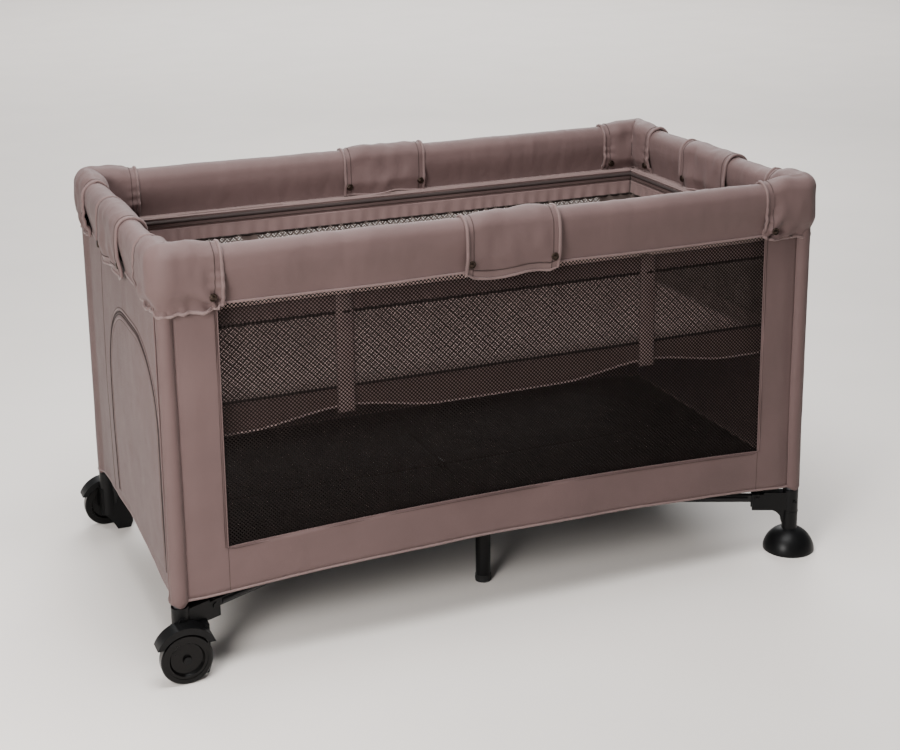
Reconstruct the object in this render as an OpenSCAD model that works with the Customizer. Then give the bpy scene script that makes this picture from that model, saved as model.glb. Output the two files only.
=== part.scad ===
// Folding playpen: four corner legs, a hub-and-arm base, top rails that break
// at a latch in the middle, and fabric walls with an inner bassinet level.
// Origin on the floor under the centre, +X to the right, -Y to the front.

/* [Frame] */
// Distance between the left and the right leg axes
leg_span_x = 1200; // [1160:10:1260]
// Distance between the front and the back leg axes
leg_span_y = 630; // [600:10:680]
// Height of the top rail axes
rail_z = 717; // [705:1:725]
// Height of the base arm pivots
arm_z = 105; // [103:1:107]
// Radius of the leg tubes
leg_r = 11; // [10:0.5:11]
// Radius of the top rail tubes
rail_r = 9.5; // [9:0.25:9.5]
// Wall of all the steel tubes
tube_wall = 1.5; // [1.2:0.1:2]

/* [Fold linkage] */
// From a leg axis to the pivot of its top rails
corner_reach = 45; // [44:1:46]
// From the middle of a latch to its pivots
latch_reach = 45; // [44:1:46]
// From a leg axis to its arm pivot, along X
foot_dx = 60; // [58:1:62]
// From a leg axis to its arm pivot, along Y
foot_dy = 25; // [24:1:26]
// Radius of the hinge rivets
rivet_r = 3; // [2.5:0.5:3]

/* [Feet] */
// Radius of the two wheels
wheel_r = 44; // [42:1:44]
// Width of the two wheels
wheel_w = 20; // [18:1:20]
// Radius of the dome feet at the floor, and the reach of the mudguards
foot_r = 49; // [48:1:52]
// Height of the dome feet
dome_h = 46; // [42:1:48]

/* [Fabric] */
// Height of the top of the padded corners
top_z = 748; // [743:1:751]
// Height of the lower hem of the rail covers
cover_z = 640; // [630:1:646]
// Half the thickness of the rail covers
cover_r = 22; // [20:1:23]
// Thickness of the corner covers and latch sleeves
sleeve_t = 4; // [3:0.5:4]
// Height of the lower hem of the walls at the legs
hem_z = 130; // [126:1:134]
// Rise of the lower hem of the long walls in their middle
hem_rise = 20; // [0:1:24]
// Thickness of the wall fabric
wall_t = 3; // [2:0.5:3]
// Top of the lower floor panel
floor_z = 159; // [155:1:163]
// Underside of the bassinet
bassinet_z = 420; // [410:1:430]
// Thickness of the mattress
mattress_t = 28; // [20:1:30]

/* [Hidden] */
$fn = 64;

lx = leg_span_x / 2;
ly = leg_span_y / 2;
rail_gap = corner_reach + latch_reach;
long_half = lx - rail_gap;
short_half = ly - rail_gap;
hub_dx = rail_gap - foot_dx;
hub_dy = rail_gap - foot_dy;
arm_len = sqrt(long_half * long_half + short_half * short_half);
arm_turn = atan2(short_half, long_half);

hole_r = rivet_r + 0.06;
eye_r = 9;
eye_t = 10;
ear_in = eye_t / 2 + 0.3;
ear_t = 4;
ear_out = ear_in + ear_t;
rivet_head_r = 5.5;
rivet_head_t = 1.8;
tube_start = 18;
plug_depth = 22;

socket_r = 16;
tube_bottom_z = 50;
tube_top_z = rail_z - 12;
fit = 0.05;

wheel_mid_y = -29;
axle_r = 4;
fender_gap = 2.5;
fender_in = 19;
fender_low = 26;
fender_top = 58;
fender_h = fender_top - fender_low;
fender_out_r = (foot_r * foot_r + fender_h * fender_h) / (2 * fender_h);
screw_z = 102;
dome_ball_r = foot_r + 1;
collar_top_z = 124;
arm_w = 17;
arm_h = 13;
arm_eye_t = 12;
cheek_in = arm_eye_t / 2 + 0.3;
cheek_t = 4;

sleeve_r = cover_r + sleeve_t;
cover_top_z = rail_z + cover_r - 3;
corner_len = 90;
sleeve_half = 86;
corner_hem_z = cover_z - 12;
gap = 2;
post_sleeve_in = 11.6;
post_sleeve_out = 15;
wall_off = 8;
wall_top_z = cover_z - 1;
wall_half_x = lx - 17;
wall_half_y = ly - 17;
window_z0 = 213;
window_half_x = 515;
mesh_t = 1;
foot_bar_y = 200;
foot_bar_r = 14;

door_z0 = 168;
door_y0 = -275;
door_y1 = 108;
door_gap = 1;
door_corner_r = 150;
door_h = 383;

tub_gap = 30;
mattress_gap_x = 45;
mattress_gap_y = 22;
tub_x = lx - tub_gap;
tub_y = ly - tub_gap;
tub_t = 4;
tub_top_z = wall_top_z;
strap_x = 290;
strap_w = 30;
mattress_x = tub_x - mattress_gap_x;
mattress_y = tub_y - mattress_gap_y;

// Repeats a shape made for the front left corner at another corner
module at_corner(right, back) {
    mirror([right, 0, 0])
        mirror([0, back, 0])
            translate([-lx, -ly, 0])
                children();
}

// Turns a shape made along +X onto +Y, keeping a corner's two sides alike
module along_y() {
    mirror([1, -1, 0])
        children();
}

module stadium(r, z0, z1) {
    translate([0, z1 - r])
        circle(r);
    translate([0, z0 + r])
        circle(r);
    translate([-r, z0 + r])
        square([2 * r, z1 - z0 - 2 * r]);
}

// Extrudes a profile, drawn as thickness and height, along +X
module extrude_x(length) {
    rotate([90, 0, 90])
        linear_extrude(length)
            children();
}

module pin_y(r, length) {
    rotate([90, 0, 0])
        cylinder(r = r, h = length, center = true);
}

module rivet(half) {
    pin_y(rivet_r, 2 * half + 0.1);
    for (side = [-1, 1])
        translate([0, side * (half + 0.05 + rivet_head_t / 2), 0])
            pin_y(rivet_head_r, rivet_head_t);
}

// One plate of a fork, from x0 to its round end at the pivot
module ear(x0, x1, half_h) {
    difference() {
        union() {
            translate([x0, -ear_out, -half_h])
                cube([x1 - x0, ear_t, 2 * half_h]);
            translate([x1, -ear_in - ear_t / 2, 0])
                pin_y(half_h, ear_t);
        }
        translate([x1, -ear_in - ear_t / 2, 0])
            pin_y(hole_r, ear_t + 2);
    }
}

// ---- legs ----

module leg_tube(right, back) {
    color("dimgray")
        at_corner(right, back)
            translate([0, 0, tube_bottom_z])
                difference() {
                    cylinder(r = leg_r, h = tube_top_z - tube_bottom_z);
                    translate([0, 0, -1])
                        cylinder(r = leg_r - tube_wall, h = tube_top_z - tube_bottom_z + 2);
                }
}

module top_corner_fork() {
    for (side = [0, 1])
        mirror([0, side, 0])
            ear(8, corner_reach, eye_r + 1);
    translate([8, -ear_in - 1, -eye_r])
        cube([corner_reach - 8 - eye_r - 3, 2 * ear_in + 2, 2 * eye_r]);
}

module top_corner(right, back) {
    color("black")
        at_corner(right, back)
            translate([0, 0, rail_z]) {
                difference() {
                    union() {
                        translate([0, 0, -35])
                            cylinder(r = socket_r, h = 49);
                        top_corner_fork();
                        along_y()
                            top_corner_fork();
                    }
                    translate([0, 0, -36])
                        cylinder(r = leg_r + fit, h = 36 - 12);
                }
                translate([corner_reach, 0, 0])
                    rivet(ear_out);
                along_y()
                    translate([corner_reach, 0, 0])
                        rivet(ear_out);
            }
}

// Fork for the outer end of a base arm, open at the top, turned along the arm
module foot_fork() {
    translate([foot_dx, foot_dy, arm_z])
        rotate([0, 0, arm_turn])
            difference() {
                union() {
                    for (side = [-1, 1])
                        translate([-22, side * (cheek_in + cheek_t / 2) - cheek_t / 2, -22])
                            cube([32, cheek_t, 32]);
                    translate([-60, -cheek_in - cheek_t, -22])
                        cube([48, 2 * (cheek_in + cheek_t), 36]);
                    foot_gusset();
                    translate([-22, -cheek_in - cheek_t, -22])
                        cube([26, 2 * (cheek_in + cheek_t), 9]);
                }
                pin_y(hole_r, 40);
            }
}

// Web below a fork, with a concave edge
module foot_gusset() {
    r = 26;
    difference() {
        translate([-52, -8, -22 - r])
            cube([30, 16, r + 1]);
        translate([-22, 0, -22 - r])
            pin_y(r, 20);
    }
}

module foot_rivet() {
    translate([foot_dx, foot_dy, arm_z])
        rotate([0, 0, arm_turn])
            rivet(cheek_in + cheek_t);
}

module tube_socket() {
    translate([0, 0, tube_bottom_z])
        cylinder(r = leg_r + fit, h = 100);
}

module wheel_axis() {
    translate([0, wheel_mid_y, wheel_r])
        children();
}

// Crescent mudguard over the top of a wheel
module fender() {
    wheel_axis()
        rotate([90, 0, 0])
            translate([0, 0, -fender_in])
                linear_extrude(fender_in + wheel_w / 2 + fender_gap)
                    difference() {
                        intersection() {
                            translate([0, fender_top - fender_out_r])
                                circle(fender_out_r);
                            translate([-foot_r - 1, fender_low])
                                square([2 * foot_r + 2, fender_top]);
                        }
                        circle(wheel_r + fender_gap);
                    }
}

// Screw that holds the leg tube in a foot
module collar_screw(r) {
    translate([0, -post_sleeve_out - 0.1, screw_z])
        rotate([90, 0, 0])
            difference() {
                cylinder(r = r, h = 3);
                translate([0, 0, 2])
                    cylinder(r = r - 1.6, h = 2);
            }
}

module wheel_bracket(back) {
    color("black")
        at_corner(0, back) {
            difference() {
                union() {
                    translate([0, 0, 34])
                        cylinder(r = post_sleeve_out, h = collar_top_z - 34);
                    foot_fork();
                    fender();
                    wheel_axis()
                        translate([0, wheel_w / 2 + 4, 0])
                            pin_y(15, 6);
                    translate([-15, -15, 34])
                        cube([60, 26, 55]);
                    // wedge foot on the inner side, down to the floor
                    translate([0, 11, 0])
                        rotate([90, 0, 0])
                            linear_extrude(26)
                                polygon([[-15, 40], [4, 18], [14, 0], [40, 0], [45, 12], [45, 40]]);
                }
                tube_socket();
                foot_rivet();
            }
            foot_rivet();
            collar_screw(6.5);
            // axle with its outer cap
            wheel_axis() {
                translate([0, 1, 0])
                    pin_y(axle_r, wheel_w + 6);
                translate([0, -wheel_w / 2 - 2, 0])
                    pin_y(axle_r + 2.5, 2);
            }
        }
}

module dome_foot(back) {
    color("black")
        at_corner(1, back) {
            difference() {
                union() {
                    translate([0, 0, 20])
                        cylinder(r = post_sleeve_out, h = collar_top_z - 20);
                    translate([0, 0, 78])
                        cylinder(r = post_sleeve_out + 0.8, h = 1.5);
                    intersection() {
                        translate([0, 0, dome_h - dome_ball_r])
                            sphere(r = dome_ball_r);
                        translate([0, 0, 5])
                            cylinder(r = foot_r, h = dome_h);
                    }
                    cylinder(r = foot_r, h = 5);
                    foot_fork();
                }
                tube_socket();
                foot_rivet();
            }
            foot_rivet();
            collar_screw(3);
        }
}

module wheel(back) {
    color("black")
        at_corner(0, back)
            wheel_axis()
                rotate([90, 0, 0]) {
                    // tyre
                    rotate_extrude()
                        translate([0, -wheel_w / 2])
                            polygon([
                                [wheel_r - 9, 0], [wheel_r - 2, 0], [wheel_r, 2.5],
                                [wheel_r, wheel_w - 2.5], [wheel_r - 2, wheel_w], [wheel_r - 9, wheel_w]
                            ]);
                    // dished disc with its boss
                    rotate_extrude()
                        translate([0, -wheel_w / 2])
                            polygon([
                                [axle_r + fit, 1], [10, 1], [10, 7], [wheel_r - 15, 7], [wheel_r - 13, 1],
                                [wheel_r - 9.05, 1], [wheel_r - 9.05, wheel_w - 1], [wheel_r - 14, wheel_w - 1],
                                [wheel_r - 17, wheel_w - 6], [8, wheel_w - 4], [7, wheel_w - 2],
                                [axle_r + fit, wheel_w - 2]
                            ]);
                }
}

// Soft cover over a top corner, hollow and open below, with the post's sleeve
module corner_shell(r, z0, z1, length) {
    extrude_x(length)
        stadium(r, z0, z1);
    along_y()
        extrude_x(length)
            stadium(r, z0, z1);
    rotate_extrude()
        intersection() {
            stadium(r, z0, z1);
            translate([0, z0])
                square([r, z1 - z0]);
        }
}

module corner_cover(right, back) {
    color("rosybrown")
        at_corner(right, back) {
            difference() {
                corner_shell(sleeve_r, corner_hem_z - sleeve_r, top_z, corner_len);
                corner_shell(cover_r, corner_hem_z - 2 * sleeve_r, top_z - sleeve_t, corner_len + 1);
                translate([-50, -50, corner_hem_z - 60])
                    cube([200, 200, 60]);
            }
            translate([0, 0, collar_top_z + 1])
                difference() {
                    cylinder(r = post_sleeve_out, h = corner_hem_z - collar_top_z - 4);
                    translate([0, 0, -1])
                        cylinder(r = post_sleeve_in, h = corner_hem_z);
                }
        }
}

// ---- base ----

module arm(right, back) {
    color("black")
        at_corner(right, back)
            translate([foot_dx, foot_dy, arm_z])
                rotate([0, 0, arm_turn])
                    difference() {
                        union() {
                            for (x = [0, arm_len])
                                translate([x, 0, 0])
                                    pin_y(eye_r, arm_eye_t);
                            translate([0, -arm_eye_t / 2, -arm_h / 2])
                                cube([arm_len, arm_eye_t, arm_h]);
                            translate([tube_start, 0, 0])
                                extrude_x(arm_len - 2 * tube_start)
                                    arm_profile(arm_w, arm_h);
                        }
                        for (x = [0, arm_len])
                            translate([x, 0, 0])
                                pin_y(hole_r, 40);
                        translate([tube_start + 12, 0, 0])
                            extrude_x(arm_len - 2 * tube_start - 24)
                                arm_profile(arm_w - 2 * tube_wall, arm_h - 2 * tube_wall);
                        // drain hole under the hollow
                        translate([arm_len / 2, 0, -arm_h])
                            cylinder(r = 2.5, h = arm_h);
                    }
}

module arm_profile(w, h) {
    for (side = [-1, 1])
        translate([side * (w - h) / 2, 0])
            circle(h / 2);
    translate([-(w - h) / 2, -h / 2])
        square([w - h, h]);
}

module hub_fork() {
    translate([hub_dx, hub_dy, arm_z])
        rotate([0, 0, arm_turn])
            difference() {
                for (side = [-1, 1])
                    translate([-10, side * (cheek_in + cheek_t / 2) - cheek_t / 2, -10])
                        cube([20, cheek_t, 22]);
                pin_y(hole_r, 40);
            }
}

module hub() {
    color("black") {
        union() {
            for (right = [0, 1], back = [0, 1])
                mirror([right, 0, 0])
                    mirror([0, back, 0])
                        hub_fork();
            translate([-hub_dx - 16, -hub_dy - 18, arm_z + 11])
                cube([2 * hub_dx + 32, 2 * hub_dy + 36, 5]);
            translate([-12, -foot_bar_y, arm_z - 8])
                cube([24, 2 * foot_bar_y, 20]);
            for (side = [-1, 1])
                translate([0, side * foot_bar_y, 13])
                    cylinder(r = foot_bar_r, h = arm_z + 3);
        }
        for (right = [0, 1], back = [0, 1])
            mirror([right, 0, 0])
                mirror([0, back, 0])
                    translate([hub_dx, hub_dy, arm_z])
                        rotate([0, 0, arm_turn])
                            rivet(cheek_in + cheek_t);
    }
    // doubled webbing strap that is pulled up to fold the base
    color("dimgray")
        translate([-2, -14, arm_z + 16.1])
            cube([4, 28, 46]);
}

module hub_foot_tips() {
    color("darkslategray")
        for (side = [-1, 1])
            translate([0, side * foot_bar_y, 0])
                union() {
                    cylinder(r = foot_bar_r + 1, h = 12.9);
                    translate([0, 0, 4])
                        cylinder(r = foot_bar_r + 1.6, h = 3);
                }
}

// ---- top rails ----

module rail_plug() {
    difference() {
        union() {
            pin_y(eye_r, eye_t);
            translate([0, -eye_t / 2, -eye_r])
                cube([tube_start - 0.1, eye_t, 2 * eye_r]);
            translate([tube_start - 4, 0, 0])
                rotate([0, 90, 0])
                    cylinder(r = rail_r, h = 3.9);
            translate([tube_start - 1, 0, 0])
                rotate([0, 90, 0])
                    cylinder(r = rail_r - tube_wall - fit, h = plug_depth);
        }
        pin_y(hole_r, 40);
    }
}

// Half of a top rail, from its corner pivot at the origin along +X
module rail_half(length) {
    color("silver") {
        translate([tube_start, 0, 0])
            rotate([0, 90, 0])
                difference() {
                    cylinder(r = rail_r, h = length - 2 * tube_start);
                    translate([0, 0, -1])
                        cylinder(r = rail_r - tube_wall, h = length);
                }
        rail_plug();
        translate([length, 0, 0])
            mirror([1, 0, 0])
                rail_plug();
    }
}

module long_rail(right, back) {
    at_corner(right, back)
        translate([corner_reach, 0, rail_z])
            rail_half(long_half);
}

module short_rail(right, back) {
    at_corner(right, back)
        along_y()
            translate([corner_reach, 0, rail_z])
                rail_half(short_half);
}

// Padded cover from the corner cover to the latch sleeve, hollow inside
module cover_half(length) {
    color("rosybrown")
        translate([corner_len + gap, 0, 0])
            extrude_x(length)
                difference() {
                    stadium(cover_r, cover_z, cover_top_z);
                    stadium(cover_r - sleeve_t, cover_z + sleeve_t, cover_top_z - sleeve_t);
                }
}

module long_rail_cover(right, back) {
    at_corner(right, back)
        cover_half(lx - corner_len - sleeve_half - 2 * gap);
}

module short_rail_cover(right, back) {
    at_corner(right, back)
        along_y()
            cover_half(ly - corner_len - sleeve_half - 2 * gap);
}

// ---- latches, made along X about the middle of a rail ----

module on_side(side) {
    if (side == "front")
        translate([0, -ly, 0]) children();
    if (side == "back")
        translate([0, ly, 0]) rotate([0, 0, 180]) children();
    if (side == "left")
        translate([-lx, 0, 0]) rotate([0, 0, -90]) children();
    if (side == "right")
        translate([lx, 0, 0]) rotate([0, 0, 90]) children();
}

module latch(side) {
    color("black")
        on_side(side)
            translate([0, 0, rail_z]) {
                difference() {
                    union() {
                        for (back = [0, 1])
                            mirror([0, back, 0]) {
                                ear(0, latch_reach, eye_r + 1);
                                mirror([1, 0, 0])
                                    ear(0, latch_reach, eye_r + 1);
                            }
                        for (back = [-1, 1])
                            translate([-latch_reach - 10, back * (ear_in + ear_t / 2) - ear_t / 2, -14])
                                cube([2 * latch_reach + 20, ear_t, 6]);
                        translate([-latch_reach - 30, -ear_out, -14])
                            cube([2 * latch_reach + 60, 2 * ear_out, 3.5]);
                    }
                    translate([-12, -4, -20])
                        cube([24, 8, 20]);
                }
                for (x = [-latch_reach, latch_reach])
                    translate([x, 0, 0])
                        rivet(ear_out);
            }
}

module latch_button(side) {
    color("gray")
        on_side(side)
            translate([0, 0, rail_z]) {
                translate([-11.6, -3.6, -20])
                    cube([23.2, 7.2, 12]);
                translate([-16, -4.9, -10.3])
                    cube([32, 9.8, 3.5]);
            }
}

module latch_sleeve(side) {
    color("rosybrown")
        on_side(side)
            translate([-sleeve_half, 0, 0])
                extrude_x(2 * sleeve_half)
                    difference() {
                        stadium(sleeve_r, corner_hem_z - sleeve_r, top_z - 3);
                        stadium(cover_r, corner_hem_z - 2 * sleeve_r, top_z - 3 - sleeve_t);
                        translate([-50, corner_hem_z - 60])
                            square([100, 60]);
                    }
}

// ---- soft walls ----

// Outline of a long wall: x is the width, y the height, with its arched hem
module wall_outline(half_w, rise) {
    steps = 12;
    polygon(concat(
        [[half_w, wall_top_z], [-half_w, wall_top_z]],
        [for (i = [0:steps])
            let (t = 2 * i / steps - 1)
            [t * half_w, hem_z + rise * (1 - t * t)]]
    ));
}

module upright(half_depth) {
    rotate([90, 0, 0])
        linear_extrude(2 * half_depth, center = true)
            children();
}

module long_wall(side) {
    color("rosybrown")
        on_side(side)
            translate([0, -wall_off, 0]) {
                upright(wall_t / 2)
                    difference() {
                        wall_outline(wall_half_x, hem_rise);
                        translate([-window_half_x, window_z0])
                            square([2 * window_half_x, wall_top_z - 12 - window_z0]);
                    }
                translate([0, wall_t / 2 + mesh_t / 2 + 0.1, 0])
                    upright(mesh_t / 2)
                        translate([-window_half_x - 8, window_z0 - 8])
                            square([2 * window_half_x + 16, wall_top_z + 4 - window_z0]);
            }
}

module door_outline(grow) {
    r = door_corner_r + grow;
    y0 = door_y0 - grow;
    y1 = door_y1 + grow;
    top = door_z0 + door_h + grow;
    for (y = [y0 + r, y1 - r])
        translate([y, top - r])
            circle(r);
    translate([y0, door_z0 - grow])
        square([y1 - y0, top - r - door_z0 + grow]);
    translate([y0 + r, door_z0 - grow])
        square([y1 - y0 - 2 * r, top - door_z0 + grow]);
}

// Puts an outline drawn as y and z on the plane of the left wall
module on_left_wall() {
    translate([-lx - wall_off, 0, 0])
        rotate([90, 0, 90])
            linear_extrude(wall_t, center = true)
                children();
}

module wall_left() {
    color("rosybrown")
        on_left_wall()
            difference() {
                wall_outline(wall_half_y, hem_rise);
                door_outline(door_gap);
            }
}

module door_flap() {
    color("tan")
        on_left_wall()
            door_outline(0);
}

module wall_right() {
    color("rosybrown")
        on_side("right")
            translate([0, -wall_off, 0])
                upright(wall_t / 2)
                    wall_outline(wall_half_y, hem_rise);
}

module floor_panel() {
    inner_x = lx + wall_off - wall_t / 2 - 1.5;
    inner_y = ly + wall_off - wall_t / 2 - 3;
    color("dimgray")
        translate([0, 0, floor_z - 6])
            difference() {
                translate([-inner_x, -inner_y, 0])
                    cube([2 * inner_x, 2 * inner_y, 6]);
                for (right = [0, 1], back = [0, 1])
                    mirror([right, 0, 0])
                        mirror([0, back, 0])
                            translate([-inner_x - 1, -inner_y - 1, -1])
                                cube([inner_x - lx + 19, inner_y - ly + 19, 8]);
                // slot for the pull strap
                translate([-26, -18, -1])
                    cube([52, 36, 8]);
            }
}

module bassinet() {
    side_h = tub_top_z - bassinet_z;
    color("rosybrown") {
        translate([-tub_x, -tub_y, bassinet_z])
            cube([2 * tub_x, 2 * tub_y, tub_t]);
        for (side = [-1, 1]) {
            translate([-tub_x, side * (tub_y - tub_t / 2) - tub_t / 2, bassinet_z + tub_t + 0.1])
                cube([2 * tub_x, tub_t, side_h - tub_t]);
            translate([side * (tub_x - tub_t / 2) - tub_t / 2, -tub_y + tub_t + 0.1,
                       bassinet_z + tub_t + 0.1])
                cube([tub_t, 2 * (tub_y - tub_t - 0.1), side_h - tub_t]);
            // hanging straps
            for (x = [-strap_x, strap_x])
                translate([x - strap_w / 2, side * (tub_y + 1) - 0.75, bassinet_z])
                    cube([strap_w, 1.5, side_h]);
        }
    }
}

module mattress() {
    corner = 40;
    color("lightgray")
        translate([0, 0, bassinet_z + tub_t + 0.5])
            linear_extrude(mattress_t) {
                for (x = [-1, 1], y = [-1, 1])
                    translate([x * (mattress_x - corner), y * (mattress_y - corner)])
                        circle(corner);
                square([2 * mattress_x, 2 * (mattress_y - corner)], center = true);
                square([2 * (mattress_x - corner), 2 * mattress_y], center = true);
            }
}

leg_tube(0, 0);  // leg_tube_front_left
leg_tube(1, 0);  // leg_tube_front_right
leg_tube(0, 1);  // leg_tube_back_left
leg_tube(1, 1);  // leg_tube_back_right
top_corner(0, 0);  // top_corner_front_left
top_corner(1, 0);  // top_corner_front_right
top_corner(0, 1);  // top_corner_back_left
top_corner(1, 1);  // top_corner_back_right
wheel_bracket(0);  // wheel_bracket_front
wheel_bracket(1);  // wheel_bracket_back
dome_foot(0);  // dome_foot_front
dome_foot(1);  // dome_foot_back
corner_cover(0, 0);  // corner_cover_front_left
corner_cover(1, 0);  // corner_cover_front_right
corner_cover(0, 1);  // corner_cover_back_left
corner_cover(1, 1);  // corner_cover_back_right
wheel(0);  // wheel_front
wheel(1);  // wheel_back
arm(0, 0);  // arm_front_left
arm(1, 0);  // arm_front_right
arm(0, 1);  // arm_back_left
arm(1, 1);  // arm_back_right
hub();
hub_foot_tips();
long_rail(0, 0);  // rail_front_left
long_rail(1, 0);  // rail_front_right
long_rail(0, 1);  // rail_back_left
long_rail(1, 1);  // rail_back_right
short_rail(0, 0);  // rail_left_front
short_rail(0, 1);  // rail_left_back
short_rail(1, 0);  // rail_right_front
short_rail(1, 1);  // rail_right_back
long_rail_cover(0, 0);  // rail_cover_front_left
long_rail_cover(1, 0);  // rail_cover_front_right
long_rail_cover(0, 1);  // rail_cover_back_left
long_rail_cover(1, 1);  // rail_cover_back_right
short_rail_cover(0, 0);  // rail_cover_left_front
short_rail_cover(0, 1);  // rail_cover_left_back
short_rail_cover(1, 0);  // rail_cover_right_front
short_rail_cover(1, 1);  // rail_cover_right_back
latch("front");  // latch_front
latch("back");  // latch_back
latch("left");  // latch_left
latch("right");  // latch_right
latch_button("front");  // latch_button_front
latch_button("back");  // latch_button_back
latch_button("left");  // latch_button_left
latch_button("right");  // latch_button_right
latch_sleeve("front");  // latch_sleeve_front
latch_sleeve("back");  // latch_sleeve_back
latch_sleeve("left");  // latch_sleeve_left
latch_sleeve("right");  // latch_sleeve_right
long_wall("front");  // wall_front
long_wall("back");  // wall_back
wall_left();
wall_right();
door_flap();
floor_panel();
bassinet();
mattress();
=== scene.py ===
"""Looks of the folding playpen: sewn fabric, mesh, padding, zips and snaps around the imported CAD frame."""
import math

import bpy
import numpy as np
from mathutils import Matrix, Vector


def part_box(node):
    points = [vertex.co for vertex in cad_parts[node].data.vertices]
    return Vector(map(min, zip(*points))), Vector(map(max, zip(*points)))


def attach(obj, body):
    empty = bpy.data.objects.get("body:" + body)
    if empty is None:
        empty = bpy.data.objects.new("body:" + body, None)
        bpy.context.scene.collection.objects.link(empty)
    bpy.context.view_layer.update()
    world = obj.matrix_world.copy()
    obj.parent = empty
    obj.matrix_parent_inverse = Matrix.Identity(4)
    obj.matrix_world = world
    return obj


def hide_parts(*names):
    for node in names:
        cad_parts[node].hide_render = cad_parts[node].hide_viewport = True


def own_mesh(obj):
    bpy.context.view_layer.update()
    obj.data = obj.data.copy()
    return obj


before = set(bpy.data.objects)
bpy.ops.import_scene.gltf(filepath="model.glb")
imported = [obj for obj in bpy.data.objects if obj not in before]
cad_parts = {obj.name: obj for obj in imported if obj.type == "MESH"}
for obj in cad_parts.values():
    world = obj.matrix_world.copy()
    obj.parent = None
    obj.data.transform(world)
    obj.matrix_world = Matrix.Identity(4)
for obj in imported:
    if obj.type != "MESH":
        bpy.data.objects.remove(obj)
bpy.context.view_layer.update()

MM = 0.001
CORNERS = {"front_left": (-1, -1), "front_right": (1, -1), "back_left": (-1, 1), "back_right": (1, 1)}
SIDES = ("front", "back", "left", "right")


# ---- places, taken from the CAD nodes ----

def middle(node):
    low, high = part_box(node)
    return (Vector(low) + Vector(high)) / 2


LX = middle("leg_tube_front_right").x
LY = middle("leg_tube_back_left").y
RAIL_Z = middle("rail_front_left").z
TOP_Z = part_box("corner_cover_front_left")[1][2]
COVER_LOW, COVER_HIGH = (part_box("rail_cover_front_left")[k][2] for k in (0, 1))
CORNER_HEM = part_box("latch_sleeve_front")[0][2]
HEM_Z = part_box("wall_front")[0][2]
WALL_OFF = middle("wall_right").x - LX
FLOOR_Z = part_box("floor_panel")[1][2]
TUB_LOW, TUB_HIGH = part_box("bassinet")
PAD_LOW, PAD_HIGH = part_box("mattress")
DOOR_LOW, DOOR_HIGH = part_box("door_flap")
SLEEVE_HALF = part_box("latch_sleeve_front")[1][0]
CORNER_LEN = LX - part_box("rail_cover_front_right")[1][0]
HEM_RISE = 20 * MM
STRAP_X = 290 * MM
WINDOW_X = 515 * MM
WINDOW_Z = 213 * MM
WINDOW_RISE = 17 * MM
POST_R = 15 * MM
DOOR_R = 150 * MM
STRIP_SEAM_Y = 160 * MM
# How far a rail cover runs on under the corner cover and under the latch sleeve.
UNDER_CORNER = 14 * MM
UNDER_SLEEVE = 8 * MM
# An arm's pivot, in from its leg along X and Y, and the stretch of each half side that doesn't fold.
ARM_PIVOT_X, ARM_PIVOT_Y = 60 * MM, 25 * MM
UNFOLDED = 90 * MM
# Cloth thicknesses, and the radii of the tubes that stand for stitching, seams and turned hems; the stitching
# and seam tubes are dark, partly thread and partly painted shade in the seams.
WALL_THICK = 1.4 * MM
BAND_THICK = 1.2 * MM
FLOOR_THICK = 1.6 * MM
STITCH_R = 0.45 * MM
SEAM_R = 0.8 * MM
TURNED_R = 3.2 * MM
# The area given to it is the mesh's own, kept between these shares, so it is no separate check of the cut.
SLOT = "mauve_fabric"
# Axis, anchor and share of the size kept, for cloth along the long and the short sides; nothing in this
# script squashes the cloth by them. axis, anchor, share of the size kept.
LONG_FOLD = ((1, 0, 0), (-LX, 0, 0), 0.24)
SHORT_FOLD = ((0, 1, 0), (0, -LY, 0), 0.365)


# ---- small mesh tools ----

def hash3(ix, iy, iz, seed):
    """A fixed value from -1 to 1 for each point of an integer lattice."""
    h = (ix * 73856093) ^ (iy * 19349663) ^ (iz * 83492791) ^ (seed * 2654435761)
    h = (h ^ (h >> 13)) * 1274126177 & 0xFFFFFFFF
    h = h ^ (h >> 16)
    return (h & 0xFFFF) / 32767.5 - 1


def noise(p, size, seed=1):
    """Smooth noise from -1 to 1 at points p, with features of the given size along each axis."""
    q = np.asarray(p, float) / np.asarray(size, float) + 1000
    i = np.floor(q).astype(np.int64)
    f = q - i
    f = f * f * (3 - 2 * f)
    out = 0
    for dx in (0, 1):
        for dy in (0, 1):
            for dz in (0, 1):
                w = (f[..., 0] if dx else 1 - f[..., 0]) * (f[..., 1] if dy else 1 - f[..., 1])
                w = w * (f[..., 2] if dz else 1 - f[..., 2])
                out = out + w * hash3(i[..., 0] + dx, i[..., 1] + dy, i[..., 2] + dz, seed)
    return out


def smooth(t):
    """A smooth step from 0 to 1 as t goes from 0 to 1."""
    t = np.clip(t, 0, 1)
    return t * t * (3 - 2 * t)


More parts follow.
